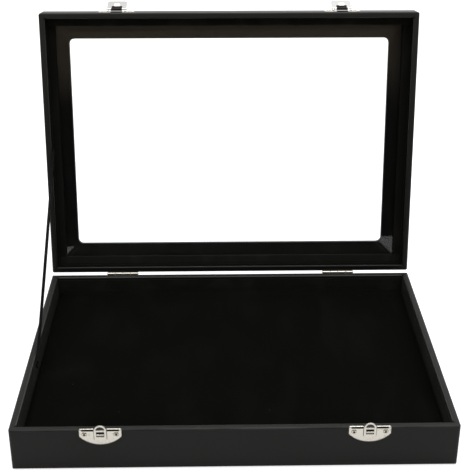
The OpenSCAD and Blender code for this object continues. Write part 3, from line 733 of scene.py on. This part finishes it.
class CASE_OT_metalwork(Operator):
    """Plate the hinges and clasps, and finish the springs and staples"""
    bl_idname = "display_case.metalwork"
    bl_label = "Metalwork"

    def execute(self, context):
        finishes = context.scene.case_finishes
        plate = nickel("nickel", finishes, finishes.metal_edge)
        # The catch plates and their screw heads take more painted shade in their creases and recesses
        catch = nickel("catch_nickel", finishes, finishes.catch_edge, catch_painted_shade)
        catch_screw = nickel("catch_screw_nickel", finishes, finishes.metal_edge, catch_screw_painted_shade)
        dress(CATCH_PLATES, catch, SHEET_EDGE)
        dress(HASPS, bright_nickel(finishes), SHEET_EDGE)
        dress(SHEET_METAL, plate, SHEET_EDGE)
        dress(TURNED_METAL, plate)
        dress(["catch_screws"], catch_screw)
        dress(SPRINGS, spring_steel(finishes))
        dress(STAPLES, staple_wire(finishes), STAPLE_EDGE)
        return {"FINISHED"}


def pad_mesh(form):
    """The pad's cover before it swells: a closed grid on the CAD pad, a little lower in its middle"""
    low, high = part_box("pin_pad")
    surface = BVHTree.FromObject(frame["nodes"]["pin_pad"], bpy.context.evaluated_depsgraph_get())
    columns = round((high.x - low.x) / form.cell)
    rows = round((high.y - low.y) / form.cell)
    edge = form.clearance
    slack = form.slack
    crowding = 0.06
    draw_in = 0.007

    def crowd(part):
        """A part of the way from 0 to 1, moved so that cells are smaller at the ends and in the middle"""
        return part - crowding * math.sin(4 * math.pi * part) / 2

    def top_point(i, j):
        x = low.x + edge + crowd(i / columns) * (high.x - low.x - 2 * edge)
        y = low.y + edge + crowd(j / rows) * (high.y - low.y - 2 * edge)
        hit = surface.ray_cast(Vector((x, y, high.z + 1)), Vector((0, 0, -1)))[0]
        middle = math.sin(math.pi * i / columns) * math.sin(math.pi * j / rows)
        return Vector((x, y, hit.z - slack * middle))

    mesh = bmesh.new()
    top = {(i, j): mesh.verts.new(top_point(i, j)) for i in range(columns + 1) for j in range(rows + 1)}
    ring = [(i, 0) for i in range(columns)] + [(columns, j) for j in range(rows)]
    ring += [(columns - i, rows) for i in range(columns)] + [(0, rows - j) for j in range(rows)]
    upper = [top[key] for key in ring]
    for level in range(1, form.side_rows + 1):
        down = level / form.side_rows
        lower = []
        for key in ring:
            point = top[key].co.copy()
            point.z += (low.z - point.z) * down
            draw = 1 - draw_in * down ** 2
            lower.append(mesh.verts.new((point.x * draw, point.y * draw, point.z)))
        for k, vert in enumerate(upper):
            after = (k + 1) % len(ring)
            mesh.faces.new((vert, lower[k], lower[after], upper[after]))
        upper = lower
    foot = dict(zip(ring, upper))
    for i in range(columns + 1):
        for j in range(rows + 1):
            if (i, j) not in foot:
                point = top[i, j].co * (1 - draw_in)
                foot[i, j] = mesh.verts.new((point.x, point.y, low.z))
    for i in range(columns):
        for j in range(rows):
            square = [(i, j), (i + 1, j), (i + 1, j + 1), (i, j + 1)]
            mesh.faces.new([top[key] for key in square])
            mesh.faces.new([foot[key] for key in reversed(square)])
    bmesh.ops.recalc_face_normals(mesh, faces=mesh.faces)
    result = bpy.data.meshes.new("velvet_pad")
    mesh.to_mesh(result)
    mesh.free()
    return result


def swell(pad, form):
    """Runs a cloth simulation with pressure under the top and keeps its result, within a reach"""
    low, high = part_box("pin_pad")
    inner = high - Vector((2 * MM, 2 * MM, 0))
    foot = low.z + 0.5 * MM
    held = [
        vertex.index for vertex in pad.data.vertices
        if vertex.co.z < foot or abs(vertex.co.x) > inner.x or abs(vertex.co.y) > inner.y]
    pad.vertex_groups.new(name="held").add(held, 1.0, "REPLACE")
    cloth = pad.modifiers.new("swell", "CLOTH")
    cloth.settings.vertex_group_mass = "held"
    cloth.settings.use_pressure = True
    cloth.settings.uniform_pressure_force = form.pressure
    cloth.settings.effector_weights.gravity = 0
    cloth.collision_settings.use_collision = False
    cloth.point_cache.frame_start = 1
    cloth.point_cache.frame_end = form.frames
    scene = bpy.context.scene
    for number in range(1, form.frames + 1):
        scene.frame_set(number)
    swelled = pad.evaluated_get(bpy.context.evaluated_depsgraph_get())
    moves = [after.co - before.co for after, before in zip(swelled.data.vertices, pad.data.vertices)]
    pad.modifiers.remove(cloth)
    pad.vertex_groups.clear()
    scene.frame_set(1)
    for vertex, move in zip(pad.data.vertices, moves):
        if move.length > form.reach:
            move = move * (form.reach / move.length)
        vertex.co += move


def settle(pad, form):
    """Brings the pad to its height, keeps it inside the walls and gives its top a soft unevenness"""
    low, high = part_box("pin_pad")
    top = max(vertex.co.z for vertex in pad.data.vertices)
    stretch = (high.z - low.z) / (top - low.z)
    foot = low.z + 5 * MM
    lump = 28 * MM
    for vertex in pad.data.vertices:
        point = vertex.co
        point.z = low.z + (point.z - low.z) * stretch
        for axis in (0, 1):
            room = high[axis] - form.clearance
            point[axis] = max(-room, min(room, point[axis]))
        if point.z > foot:
            point.z += form.unevenness * noise.noise(point / lump)


class CASE_OT_pin_pad(Operator):
    """Make the velvet pad that the pins stick in, swelled by a cloth simulation"""
    bl_idname = "display_case.pin_pad"
    bl_label = "Pin pad"

    def execute(self, context):
        form = context.scene.pad_form
        finishes = context.scene.case_finishes
        # The pad's velvet colour is painted darker than the linings' as painted shade
        cover = velvet("pad_velvet", finishes, "base", finishes.pad_velvet, lint_spacing=42 * MM)
        pad = new_piece("velvet_pad", pad_mesh(form), cover)
        swell(pad, form)
        settle(pad, form)
        subdivision = pad.modifiers.new("smooth", "SUBSURF")
        subdivision.levels = subdivision.render_levels = 1
        pad.data.shade_smooth()
        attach(pad, "base")
        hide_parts("pin_pad")
        return {"FINISHED"}


def ribbon_line():
    """Start, direction and length of the strap's middle line"""
    low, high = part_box("stay_strap")
    staples = [sum(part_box(node), Vector()) / 2 for node in STAPLES]
    direction = Vector((0, *(staples[1] - staples[0]).yz)).normalized()
    points = [vertex.co for vertex in frame["nodes"]["stay_strap"].data.vertices]
    reach = [(point - staples[0]).dot(direction) for point in points]
    start = staples[0] + direction * min(reach)
    start.x = (low.x + high.x) / 2
    return start, direction, max(reach) - min(reach)


def ribbon_width():
    start, direction, _ = ribbon_line()
    across = Vector((0, -direction.z, direction.y))
    reach = [(vertex.co - start).dot(across) for vertex in frame["nodes"]["stay_strap"].data.vertices]
    return max(reach) - min(reach)


def ribbon_mesh(form):
    """A flat closed strip with thicker selvedges, which wavers a little along its run"""
    start, direction, run = ribbon_line()
    across = Vector((0, -direction.z, direction.y))
    low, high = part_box("stay_strap")
    half_width = ribbon_width() / 2
    inset = 0.03 * MM
    half_thick = (high.x - low.x) / 2 - inset
    trimmed = 0.99
    edge_radius = 0.25 * MM
    edge_bluntness = 0.04
    waver_length = 17 * MM
    stops = [-1, -0.985, -0.92, -0.84, -0.6, -0.3, 0, 0.3, 0.6, 0.84, 0.92, 0.985, 1]

    def thickness(stop):
        inside = half_width * (1 - abs(stop))
        round_off = math.sqrt(min(1.0, inside / edge_radius + edge_bluntness))
        middle = min(1.0, max(0.0, (inside - form.selvedge / 2) / (form.selvedge / 2)))
        return half_thick * round_off * (1 - form.thinning * middle)

    mesh = bmesh.new()
    sections = []
    count = round(run / form.step)
    for k in range(count + 1):
        at = start + direction * (run * k / count)
        waver = form.waver * noise.noise(Vector((at.y, at.z, 0)) / waver_length)
        free = math.sin(math.pi * k / count)
        section = []
        for side, way_round in ((1, stops), (-1, stops[::-1])):
            for stop in way_round:
                point = at + across * (half_width * stop * trimmed + waver)
                lean = half_width * stop * math.sin(form.twist)
                point.x += side * thickness(stop) + free * (form.sway + lean)
                section.append(mesh.verts.new(point))
        sections.append(section)
    for before, after in zip(sections, sections[1:]):
        for k in range(len(before)):
            turn = (k + 1) % len(before)
            mesh.faces.new((before[k], before[turn], after[turn], after[k]))
    for section in (sections[0], sections[-1]):
        for k in range(len(stops) - 1):
            mesh.faces.new((section[k], section[k + 1], section[-k - 2], section[-k - 1]))
    bmesh.ops.recalc_face_normals(mesh, faces=mesh.faces)
    result = bpy.data.meshes.new("stay_ribbon")
    mesh.to_mesh(result)
    mesh.free()
    return result


class CASE_OT_stay_strap(Operator):
    """Hang the woven ribbon that stops the lid"""
    bl_idname = "display_case.stay_strap"
    bl_label = "Stay strap"

    def execute(self, context):
        form = context.scene.strap_form
        start, direction, run = ribbon_line()
        cloth = ribbon_cloth(context.scene.case_finishes, start, direction)
        ribbon = new_piece("stay_ribbon", ribbon_mesh(form), cloth)
        ribbon.data.shade_smooth()
        tail = 8 * MM
        start + direction * tail
        start + direction * (run - tail)
        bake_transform(ribbon)
        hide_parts("stay_strap")
        ribbon_width()
        return {"FINISHED"}


def light_path(finish, *names):
    path = finish.add("ShaderNodeLightPath").socket.node.outputs
    return [Wire(finish, path[name]) for name in names]


def seen_straight(finish):
    """1 for what the eye sees straight or through the glass, and 0 for light that falls on the case"""
    eye, through, diffuse, glossy = light_path(
        finish, "Is Camera Ray", "Is Transmission Ray", "Diffuse Depth", "Glossy Depth")
    return eye.most(through * (1 - (diffuse + glossy).least(1)))


def floor_finish(stage):
    """Pale floor that is white where the light falls on it and keeps the case's shadow"""
    finish = new_finish("floor")
    mottle = finish.clouds(finish.place(), 0.2, detail=2)
    pale = finish.tint(mottle, scaled(stage.floor, 0.99), stage.floor)
    diffuse = finish.add("ShaderNodeBsdfDiffuse", inputs={"Color": pale})
    lift = finish.add("ShaderNodeEmission", inputs={"Strength": seen_straight(finish) * stage.floor_lift})
    both = finish.add("ShaderNodeAddShader", inputs={0: diffuse, 1: lift})
    finish.add("ShaderNodeOutputMaterial", inputs={"Surface": both})
    return finish.owner


def light_world(world, stage):
    """White behind and above, a dim room in front, and plain white where the eye looks straight at it"""
    finish = Finish(world)
    # A direction of length 1: x to the right, y to the back and z up
    x, y, z = finish.axes(finish.add("ShaderNodeTexCoord", output="Generated"))
    front = (0 - y).rise(0.1, 0.6) * (1 - z.rise(0.35, 0.7))
    eye_level = z.rise(-0.02, 0.035) * (1 - z.rise(0.1, 0.18)) * (1 - x.rise(0.16, 0.18))
    room = finish.tint(eye_level, stage.room_dark, stage.room)
    backdrop = finish.tint(x.rise(-0.35, 0.35), stage.backdrop_left, stage.backdrop)
    around = finish.tint(front, backdrop, room)
    shown = finish.tint(seen_straight(finish), around, (1, 1, 1))
    sky = finish.add("ShaderNodeBackground", inputs={"Color": shown})
    finish.add("ShaderNodeOutputWorld", inputs={"Surface": sky})


def set_camera(scene, stage):
    camera = bpy.data.objects.new("camera", bpy.data.cameras.new("camera"))
    scene.collection.objects.link(camera)
    scene.camera = camera
    camera.data.sensor_width = stage.sensor
    camera.data.lens = stage.lens
    turns = [(stage.camera_yaw, "Z"), (math.pi / 2 - stage.camera_pitch, "X"), (stage.camera_roll, "Z")]
    camera.matrix_world = Matrix.Translation(stage.camera_place)
    for turn, axis in turns:
        camera.matrix_world = camera.matrix_world @ Matrix.Rotation(turn, 4, axis)


def lay_floor(stage):
    side, back = stage.floor_side, stage.floor_back
    left, right = -stage.floor_left, -stage.floor_right
    half = CAD_BOX[1].x
    outline = [(-side, left), (-half, left), (half, right), (side, right), (side, back), (-side, back)]
    floor = bpy.data.meshes.new("floor")
    floor.from_pydata([(x, y, 0) for x, y in outline], [], [list(range(len(outline)))])
    new_piece("floor", floor, floor_finish(stage))


def hang_lamp(scene, stage):
    lamp = bpy.data.objects.new("lamp", bpy.data.lights.new("lamp", "AREA"))
    scene.collection.objects.link(lamp)
    lamp.data.size = stage.lamp_size
    lamp.data.energy = stage.lamp_power
    lamp.location = stage.lamp_place


class CASE_OT_stage(Operator):
    """Set the camera, the floor and the light"""
    bl_idname = "display_case.stage"
    bl_label = "Stage"

    def execute(self, context):
        scene = context.scene
        stage = scene.stage_setup
        set_camera(scene, stage)
        lay_floor(stage)
        hang_lamp(scene, stage)
        scene.world = bpy.data.worlds.new("studio")
        light_world(scene.world, stage)
        scene.view_settings.view_transform = "Standard"
        return {"FINISHED"}


OPERATORS = [
    CASE_OT_stage, CASE_OT_boards, CASE_OT_covering, CASE_OT_lining, CASE_OT_pin_pad,
    CASE_OT_glass, CASE_OT_metalwork, CASE_OT_stay_strap,
]
SETTINGS = {
    "case_finishes": CaseFinishes, "pad_form": PadForm,
    "strap_form": StrapForm, "stage_setup": StageSetup,
}


class CASE_PT_panel(Panel):
    """Lists the steps that finish the case, and their settings"""
    bl_idname = "CASE_PT_panel"
    bl_label = "Pin Display Case"
    bl_space_type = "VIEW_3D"
    bl_region_type = "UI"
    bl_category = "Display Case"

    def draw(self, context):
        for operator in OPERATORS:
            self.layout.operator(operator.bl_idname)
        for name, group in SETTINGS.items():
            box = self.layout.box()
            box.label(text=group.__doc__)
            for prop in group.__annotations__:
                box.prop(getattr(context.scene, name), prop)


CLASSES = [*SETTINGS.values(), *OPERATORS, CASE_PT_panel]


def register():
    for cls in CLASSES:
        bpy.utils.register_class(cls)
    for name, group in SETTINGS.items():
        setattr(bpy.types.Scene, name, PointerProperty(type=group))


def unregister():
    for name in SETTINGS:
        delattr(bpy.types.Scene, name)
    for cls in reversed(CLASSES):
        bpy.utils.unregister_class(cls)


def main():
    register()
    for operator in OPERATORS:
        getattr(bpy.ops.display_case, operator.bl_idname.split(".")[1])()


if __name__ == "__main__":
    main()
